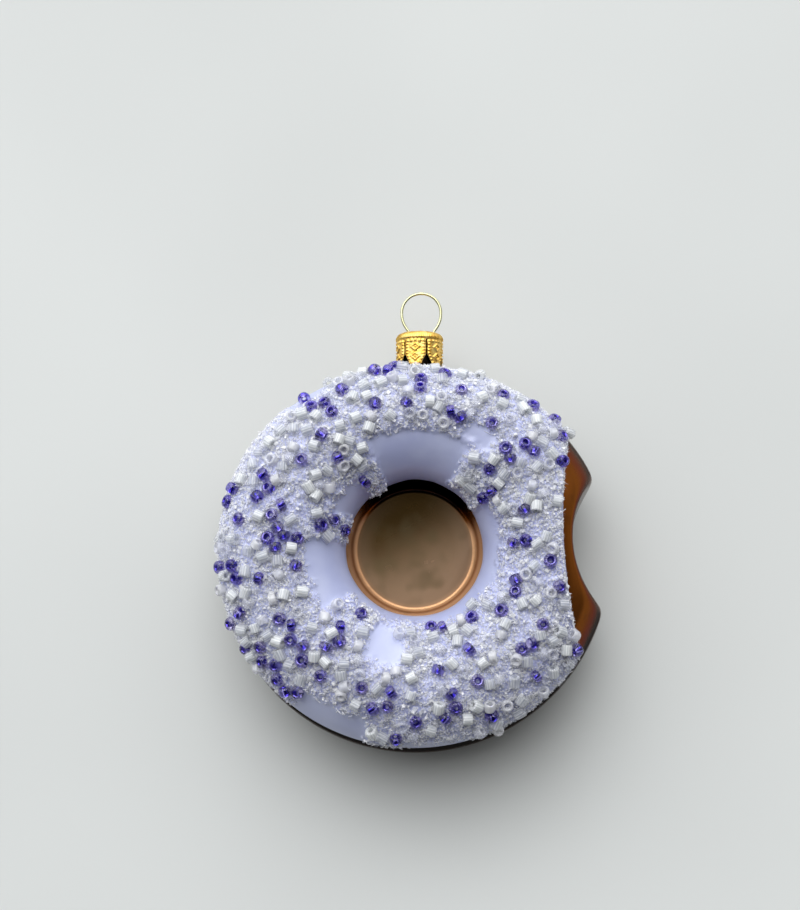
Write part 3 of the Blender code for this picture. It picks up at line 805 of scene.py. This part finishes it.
def beadShape(kind, sides, turns, steps, squareness):  # its rings of points, round or with flat sides
    radius, half, hole = beads[kind + "Radius"], beads[kind + "Length"] / 2, beads[kind + "Hole"]
    around = np.linspace(0, math.tau, steps, endpoint=False) + math.pi / steps
    cos, sin = np.cos(around), np.sin(around)
    power = 2 / squareness
    reach = (radius + hole) / 2 + (radius - hole) / 2 * np.sign(cos) * np.abs(cos) ** power
    height = half * np.sign(sin) * np.abs(sin) ** power
    angle = np.arange(turns) * math.tau / turns
    wide = np.ones(turns)
    mark = np.repeat(np.clip(-2 * cos, 0.0, 1.0), turns)  # the hole's lining
    if sides:
        offset = (angle + math.pi / sides) % (math.tau / sides) - math.pi / sides
        wide = np.minimum(math.cos(math.pi / sides) / np.cos(offset) * 1.05, 1.0)
        mark = np.tile(np.tan(offset), steps)  # across each flat side
    outward = (reach - hole)[:, None] * wide + hole
    rows = np.stack([outward * np.cos(angle), outward * np.sin(angle),
                     height[:, None] + 0 * outward], axis=-1)
    return rows, mark


def scatterMesh(name, shape, mark, places, sizes, tones):  # one joined mesh of many copies
    steps, turns = shape.shape[:2]
    numbers = np.arange(steps * turns).reshape(steps, turns)
    upper = np.roll(numbers, -1, axis=0)
    corners = (numbers, np.roll(numbers, -1, axis=1), np.roll(upper, -1, axis=1), upper)
    faces = np.stack(corners, axis=-1).reshape(-1, 4)
    base = shape.reshape(-1, 3)
    points, quads = [], []
    for number, (place, size) in enumerate(zip(places, sizes)):
        matrix = np.array(place)
        points.append((base * size) @ matrix[:3, :3].T + matrix[:3, 3])
        quads.append(faces + number * len(base))
    mesh = bpy.data.meshes.new(name)
    mesh.from_pydata((np.concatenate(points) * mm).tolist(), [], np.concatenate(quads).tolist())
    paintValue(mesh, "tone", np.repeat(tones, len(base)).tolist())
    paintValue(mesh, "mark", np.tile(mark, len(places)).tolist())
    return mesh


def makeBeads():
    purple = purplePlaces()
    flatReach = beads["whiteRadius"] * math.cos(math.pi / 6)
    whites = whitePlaces(beads["cutWhites"], flatReach, beads["spacing"])
    whites += whitePlaces(beads["moreWhites"], beads["whiteRadius"], beads["spacing"] * 0.8)
    clears = whitePlaces(beads["clears"], beads["clearRadius"], beads["spacing"] * 0.78)
    for number, place in enumerate(clears):
        if number % 2:
            clears[number] = place @ Matrix.Rotation(draw.uniform(1.0, 1.7), 4, "X")
    kinds = (("purple_beads", purple, "purple", 0, 24, 16, 2.3, purpleGlass(), None),
             ("satin_beads", whites, "white", 6, 30, 14, 7.0, satinWhite(), 30),
             ("clear_beads", clears, "clear", 0, 24, 16, 2.4, clearBead(), None))
    for name, places, kind, sides, turns, steps, squareness, finish, sharp in kinds:
        shape, mark = beadShape(kind, sides, turns, steps, squareness)
        sizes = [(draw.uniform(0.93, 1.06),) * 2 + (draw.uniform(0.82, 1.08),) for _ in places]
        tones = [draw.random() for _ in places]
        mesh = scatterMesh(name, shape, mark, places, sizes, tones)
        joinPiece(name, mesh, finish, "beaded_frosting", sharp=sharp)


makeBeads()
print("beads made")


# Grit: thousands of clear slivers and chips stuck over the coat

grit = {
    "grains": 20000,
    "grainSize": (0.24, 0.62),
    "grainLean": 1.2,
    "chips": 8000,
    "chipWide": (0.3, 0.85),
    "chipThick": (0.2, 0.6),
    "chipLean": 0.8,
    "needles": 12000,
    "needleLong": (0.9, 3.0),
    "needleWide": (0.1, 0.24),
    "needleLean": 0.4,
    "clumpSize": 5.0,
    "seed": 19,
}

sliver = np.array([(-0.5, -0.5, -0.4), (0.5, -0.42, -0.4), (0.0, -0.38, 0.5),
                   (-0.3, 0.34, -0.3), (0.3, 0.5, -0.3), (0.1, 0.42, 0.25)])
sliverFaces = ((0, 1, 2), (3, 5, 4), (0, 3, 4, 1), (1, 4, 5, 2), (2, 5, 3, 0))
chip = np.array([(x, y, z) for z in (-0.5, 0.5) for y in (-0.5, 0.5) for x in (-0.5, 0.5)])
chipFaces = ((0, 2, 3, 1), (4, 5, 7, 6), (0, 1, 5, 4), (1, 3, 7, 5), (3, 2, 6, 7), (2, 0, 4, 6))


def gritSeats(rng, count):  # spots on the coat, by its area and how crusted it is
    corners = [coatPoints[:-1], np.roll(coatPoints, -1, axis=1)[:-1], coatPoints[1:]]
    area = np.linalg.norm(np.cross(corners[1] - corners[0], corners[2] - corners[0]), axis=-1)
    inside = np.arange(len(area)) < len(area) - 4
    clump = 0.5 + 0.5 * smoothStep(-0.25, 0.25, clouds(corners[0], grit["clumpSize"]))
    weight = (area * coatCrust[:-1] ** 2 * clump * inside[:, None]).ravel()
    cell = rng.choice(weight.size, size=count, p=weight / weight.sum())
    row, column = np.divmod(cell, coatPoints.shape[1])
    first, second, third = (corner[row, column] for corner in corners)
    u, v = rng.random((2, count, 1))
    point = first + (second - first) * u + (third - first) * v
    return point, coatNormals[row, column], coatRough[row, column]


def unit(vectors):
    return vectors / np.linalg.norm(vectors, axis=-1, keepdims=True)


def makeGrit(name, count, shape, faces, sizes, lean, finish):
    grit["seed"] += 1
    rng = np.random.default_rng(grit["seed"])
    points, normals, rough = gritSeats(rng, count)
    side = unit(np.cross(normals, (0.3, 0.5, 0.81)))
    spin = rng.uniform(0, math.tau, (count, 1))
    heading = side * np.cos(spin) + np.cross(normals, side) * np.sin(spin)
    tilt = rng.normal(0, lean, (count, 1)) * (0.4 + 0.6 * rough[:, None])
    long = heading * np.cos(tilt) + normals * np.sin(tilt)
    up = normals * np.cos(tilt) - heading * np.sin(tilt)
    rise = rng.uniform(-0.1, 0.12 + 0.35 * rough)[:, None]
    jitter = rng.uniform(0.75, 1.25, (count,) + shape.shape)
    corners = shape * jitter * sizes(rng, count)[:, None, :]
    axes = np.stack([np.cross(long, up), long, up], axis=1)
    world = np.einsum("kni,kij->knj", corners, axes) + (points + normals * rise)[:, None, :]
    sides = [tuple(corner + number * len(shape) for corner in face)
             for number in range(count) for face in faces]
    mesh = bpy.data.meshes.new(name)
    mesh.from_pydata((world.reshape(-1, 3) * mm).tolist(), [], sides)
    paintValue(mesh, "tone", np.repeat(rng.random(count), len(shape)).tolist())
    joinPiece(name, mesh, finish, "beaded_frosting", smooth=False)


def grainSizes(rng, count):
    return rng.uniform(*grit["grainSize"], (count, 1)) * rng.uniform(0.7, 1.2, (count, 3))


def chipSizes(rng, count):
    wide = rng.uniform(*grit["chipWide"], count)
    narrow = wide * rng.uniform(0.6, 1.0, count)
    return np.stack([narrow, wide, rng.uniform(*grit["chipThick"], count)], axis=-1)


def needleSizes(rng, count):
    low, high = grit["needleLong"]
    wide = rng.uniform(*grit["needleWide"], (2, count))
    return np.stack([wide[0], np.minimum(low + rng.exponential(0.4, count), high), wide[1]], axis=-1)


gritFinish = clearGrit()
makeGrit("grit_grains", grit["grains"], sliver, sliverFaces, grainSizes, grit["grainLean"], gritFinish)
makeGrit("grit_chips", grit["chips"], chip, chipFaces, chipSizes, grit["chipLean"], gritFinish)
makeGrit("grit_needles", grit["needles"], sliver, sliverFaces, needleSizes, grit["needleLean"],
         gritFinish)
print("grit made")


# The stamped cap

def capStations():  # radius, distance from the petal tips and height up the petal
    radius, length = hanger["capRadius"], hanger["capLength"]
    shoulder, crown = hanger["shoulder"], hanger["crown"]
    wall, wallSteps, shoulderSteps, crownSteps = length - crown - shoulder, 60, 12, 9
    stations = [(radius - 0.2, wall * step / wallSteps) for step in range(wallSteps)]
    for step in range(shoulderSteps):
        turn = math.pi / 2 * step / shoulderSteps
        stations.append((radius - shoulder * (1 - math.cos(turn)), wall + shoulder * math.sin(turn)))
    flat = radius - shoulder
    for step in range(crownSteps):
        share = step / crownSteps
        stations.append((flat * (1 - share), length - crown + crown * (1 - (1 - share) ** 2)))
    return stations


def slotHalf(z):  # half the gap between two petals at a height
    if z > hanger["slotLength"]:
        return 0.0
    notch = max(0.0, 1 - z / hanger["notchLength"])
    return (hanger["slotWidth"] + (hanger["notchWidth"] - hanger["slotWidth"]) * notch) / 2


# The raised pattern: beaded borders, crossed lozenges between, ribs round the shoulder
pattern = {
    "inset": 0.42,             # of a border from the petal's edge
    "lineWidth": 0.2,
    "dots": 0.68,
    "borderTop": (5.1, 4.8),   # heights above the petals' tips
    "hemHeight": 0.45,
    "ringHeight": 5.4,
    "ringWidth": 0.3,
    "ringDots": 0.9,
    "ribFoot": (5.7, 6.1),
    "ribTop": (7.7, 7.3),
    "ribCount": 6,
    "lozenge": (1.15, 1.05),   # half its width and half its height
    "lozengeStart": 0.9,
    "latticeSide": (0.55, 0.8),
    "latticeFoot": (0.7, 1.0),
    "latticeTop": (5.2, 4.9),
    "raised": {"border": 0.34, "hem": 0.3, "ring": 0.32, "lozenge": 0.3, "rib": 0.16},
}


def ridge(distance, width):
    return math.exp(-(distance / width) ** 2)


def dotted(along, spacing):
    return 0.5 + 0.5 * math.cos(math.tau * along / spacing)


def stamped(across, z, width):
    edge = width / 2 - abs(across)
    border = ridge(edge - pattern["inset"], pattern["lineWidth"]) * dotted(z, pattern["dots"])
    hem = ridge(z - pattern["hemHeight"], pattern["lineWidth"]) * dotted(across, pattern["dots"])
    ring = ridge(z - pattern["ringHeight"], pattern["ringWidth"]) * dotted(across, pattern["ringDots"])
    ribs = smoothStep(*pattern["ribFoot"], z) * smoothStep(*pattern["ribTop"], z)
    ribs *= math.cos(math.tau * across / (width / pattern["ribCount"])) ** 2
    wide, high = pattern["lozenge"]
    lozenge = abs(across) / wide + abs((z - pattern["lozengeStart"]) % (2 * high) - high) / high
    crossed = smoothStep(1.05, 0.8, lozenge) - smoothStep(0.62, 0.4, lozenge)
    crossed += smoothStep(0.3, 0.05, lozenge)
    middle = smoothStep(*pattern["latticeSide"], edge) * smoothStep(*pattern["latticeFoot"], z)
    middle *= smoothStep(*pattern["latticeTop"], z)
    raised = pattern["raised"]
    borders = raised["border"] * border * smoothStep(*pattern["borderTop"], z) + raised["hem"] * hem
    return borders + raised["ring"] * ring + raised["lozenge"] * crossed * middle + raised["rib"] * ribs


def makeCap():
    stations = capStations()
    columns = 34
    petal = math.tau / hanger["petals"]
    bm = bmesh.new()
    for number in range(hanger["petals"]):
        slot = math.radians(hanger["firstSlot"]) + petal * number
        rows = []
        for radius, z in stations:
            gap = slotHalf(z) / max(radius, 0.5)
            width = (petal - 2 * gap) * radius
            row = []
            for column in range(columns + 1):
                share = column / columns
                angle = slot + gap + (petal - 2 * gap) * share
                out = float(stamped((share - 0.5) * width, z, width)) if z < pattern["ribTop"][0] else 0.0
                x, up = (radius + out) * math.sin(angle), (radius + out) * math.cos(angle)
                row.append(bm.verts.new((x * mm, z * mm, up * mm)))
            rows.append(row)
        for lower, upper in zip(rows, rows[1:]):
            for left in range(columns):
                bm.faces.new((lower[left], upper[left], upper[left + 1], lower[left + 1]))
    bmesh.ops.remove_doubles(bm, verts=bm.verts, dist=0.002 * mm)
    bmesh.ops.recalc_face_normals(bm, faces=bm.faces)
    bmesh.ops.translate(bm, verts=bm.verts, vec=Vector((hanger["capOffset"], hanger["capStart"],
                                                        doughnut["equatorHeight"])) * mm)
    mesh = bpy.data.meshes.new("stamped_cap")
    bm.to_mesh(mesh)
    bm.free()
    piece = joinPiece("stamped_cap", mesh, goldFoil(), "cap")
    thick = piece.modifiers.new("foil", "SOLIDIFY")
    thick.thickness = hanger["foil"] * mm
    thick.offset = -1


makeCap()


# The wire ring with its legs down inside the cap

def makeWire():
    curve = bpy.data.curves.new("ring_wire", "CURVE")
    curve.dimensions = "3D"
    curve.bevel_depth = hanger["wireRadius"] * mm
    curve.bevel_resolution = 6
    curve.use_fill_caps = True
    ring, centre, spread = hanger["loopRadius"], hanger["loopCentre"], hanger["legSpread"]
    ringSteps, taperSteps, tuckSteps = 40, 30, 8
    right = []
    for step in range(ringSteps):
        turn = math.pi / 2 * (1 - step / ringSteps)
        right.append((ring * math.cos(turn), centre + ring * math.sin(turn)))
    for step in range(taperSteps + 1):  # narrowing like an egg down to the legs
        share = step / taperSteps
        right.append((ring - (ring - spread) * share ** hanger["loopTaper"],
                      centre - hanger["loopDrop"] * share))
    for step in range(tuckSteps + 1):  # the legs step inwards under the cap's top
        share = step / tuckSteps
        right.append((spread - hanger["legTuck"] * float(smoothStep(0, 1, share)),
                      hanger["tuckStart"] + (hanger["tuckEnd"] - hanger["tuckStart"]) * share))
    right.append((spread - hanger["legTuck"], hanger["legEnd"]))
    route = [(-x, y) for x, y in right[:0:-1]] + right
    spline = curve.splines.new("POLY")
    spline.points.add(len(route) - 1)
    for point, (x, y) in zip(spline.points, route):
        point.co = ((x + hanger["loopOffset"]) * mm, y * mm, doughnut["equatorHeight"] * mm, 1)
    piece = bpy.data.objects.new("ring_wire", curve)
    bpy.context.scene.collection.objects.link(piece)
    piece.location = home
    curve.materials.append(paleBrass())
    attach(piece, "root")
    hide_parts("wire_loop")


makeWire()
print("cap and wire made")


# Floor, light and camera

studio = {
    "floor": (0.68, 0.695, 0.68),
    "keyPower": 9.5,
    "keyPlace": (-0.15, 0.60, 1.25),
    "keySize": 1.1,
    "bright": (-0.25, 0.92, 0.30),   # where the sky is brightest
    "skyRange": (0.05, 1.0),
    "skyLow": 0.03,
    "skyTop": 2.1,
    "sideRange": (-0.35, 0.1),       # the room's own light from the sides, none from behind
    "sideHeight": (0.9, 0.35),
    "sideLight": 0.4,
}


def makeFloor():
    bpy.ops.mesh.primitive_plane_add(size=6.0, location=(0, 0, 0))
    floor = bpy.context.object
    floor.name = "floor"
    made = Finish("pale_floor", {"Roughness": 0.85, "Specular IOR Level": 0.2})
    soft = made.cloud(160.0, 2.0)
    shade = [value * 0.93 for value in studio["floor"]]
    made.drive("Base Color", made.mix(soft.between(0.0, 1.0, 0.3, 0.7),
                                      colour(*shade), colour(*studio["floor"])))
    floor.data.materials.append(made.material)


def makeLight():
    key = bpy.data.lights.new("key", "AREA")
    key.energy = studio["keyPower"]
    key.size = studio["keySize"]
    lamp = bpy.data.objects.new("key", key)
    lamp.location = studio["keyPlace"]
    lamp.rotation_mode = "QUATERNION"
    lamp.rotation_quaternion = (Vector(studio["keyPlace"]) - home).to_track_quat("Z", "Y")
    bpy.context.scene.collection.objects.link(lamp)

    world = bpy.data.worlds.new("studio")
    bpy.context.scene.world = world
    world.use_nodes = True
    nodes, links = world.node_tree.nodes, world.node_tree.links

    def ramp(source, span, low, high):
        node = nodes.new("ShaderNodeMapRange")
        node.interpolation_type = "SMOOTHSTEP"
        links.new(source, node.inputs["Value"])
        node.inputs["From Min"].default_value, node.inputs["From Max"].default_value = span
        node.inputs["To Min"].default_value, node.inputs["To Max"].default_value = low, high
        return node.outputs[0]

    def both(operation, first, second):
        node = nodes.new("ShaderNodeMath")
        node.operation = operation
        links.new(first, node.inputs[0])
        links.new(second, node.inputs[1])
        return node.outputs[0]

    where = nodes.new("ShaderNodeTexCoord").outputs["Generated"]
    towards = nodes.new("ShaderNodeVectorMath")
    towards.operation = "DOT_PRODUCT"
    towards.inputs[1].default_value = Vector(studio["bright"]).normalized()
    links.new(where, towards.inputs[0])
    split = nodes.new("ShaderNodeSeparateXYZ")
    links.new(where, split.inputs[0])
    sky = ramp(towards.outputs["Value"], studio["skyRange"], studio["skyLow"], studio["skyTop"])
    side = both("MULTIPLY", ramp(split.outputs["Y"], studio["sideRange"], 0.0, studio["sideLight"]),
                ramp(split.outputs["Z"], studio["sideHeight"], 0.0, 1.0))
    links.new(both("ADD", sky, side), nodes["Background"].inputs["Strength"])
    nodes["Background"].inputs["Color"].default_value = (0.96, 0.98, 1.0, 1.0)


view = {
    "distance": 0.4,
    "tilt": 4.7,               # degrees from straight down
    "imageWidth": 800,
    "imageHeight": 910,
    "focalPixels": 1848.0,
    "middleX": 415,            # where the doughnut's middle falls
    "middleY": 556,
}


def makeCamera():
    data = bpy.data.cameras.new("camera")
    data.sensor_fit = "AUTO"
    data.lens = data.sensor_width * view["focalPixels"] / view["imageHeight"]
    data.clip_start, data.clip_end = 0.01, 20
    camera = bpy.data.objects.new("camera", data)
    bpy.context.scene.collection.objects.link(camera)
    tilt = math.radians(view["tilt"])
    middle = home + Vector((0, 0, doughnut["equatorHeight"] * mm))
    camera.location = middle + Vector((0, -math.sin(tilt), math.cos(tilt))) * view["distance"]
    look, up = Vector((0, math.sin(tilt), -math.cos(tilt))), Vector((0, math.cos(tilt), math.sin(tilt)))
    aside = (view["middleX"] - view["imageWidth"] / 2) / view["focalPixels"]
    below = (view["middleY"] - view["imageHeight"] / 2) / view["focalPixels"]
    axis = (look + up * below - Vector((1, 0, 0)) * aside).normalized()
    back = -axis
    right = up.cross(back).normalized()
    camera.rotation_mode = "QUATERNION"
    camera.rotation_quaternion = Matrix((right, back.cross(right), back)).transposed().to_quaternion()
    bpy.context.scene.camera = camera


makeFloor()
makeLight()
makeCamera()
scene = bpy.context.scene
scene.view_settings.view_transform = "Standard"
scene.cycles.transparent_max_bounces = 24
print("studio made")
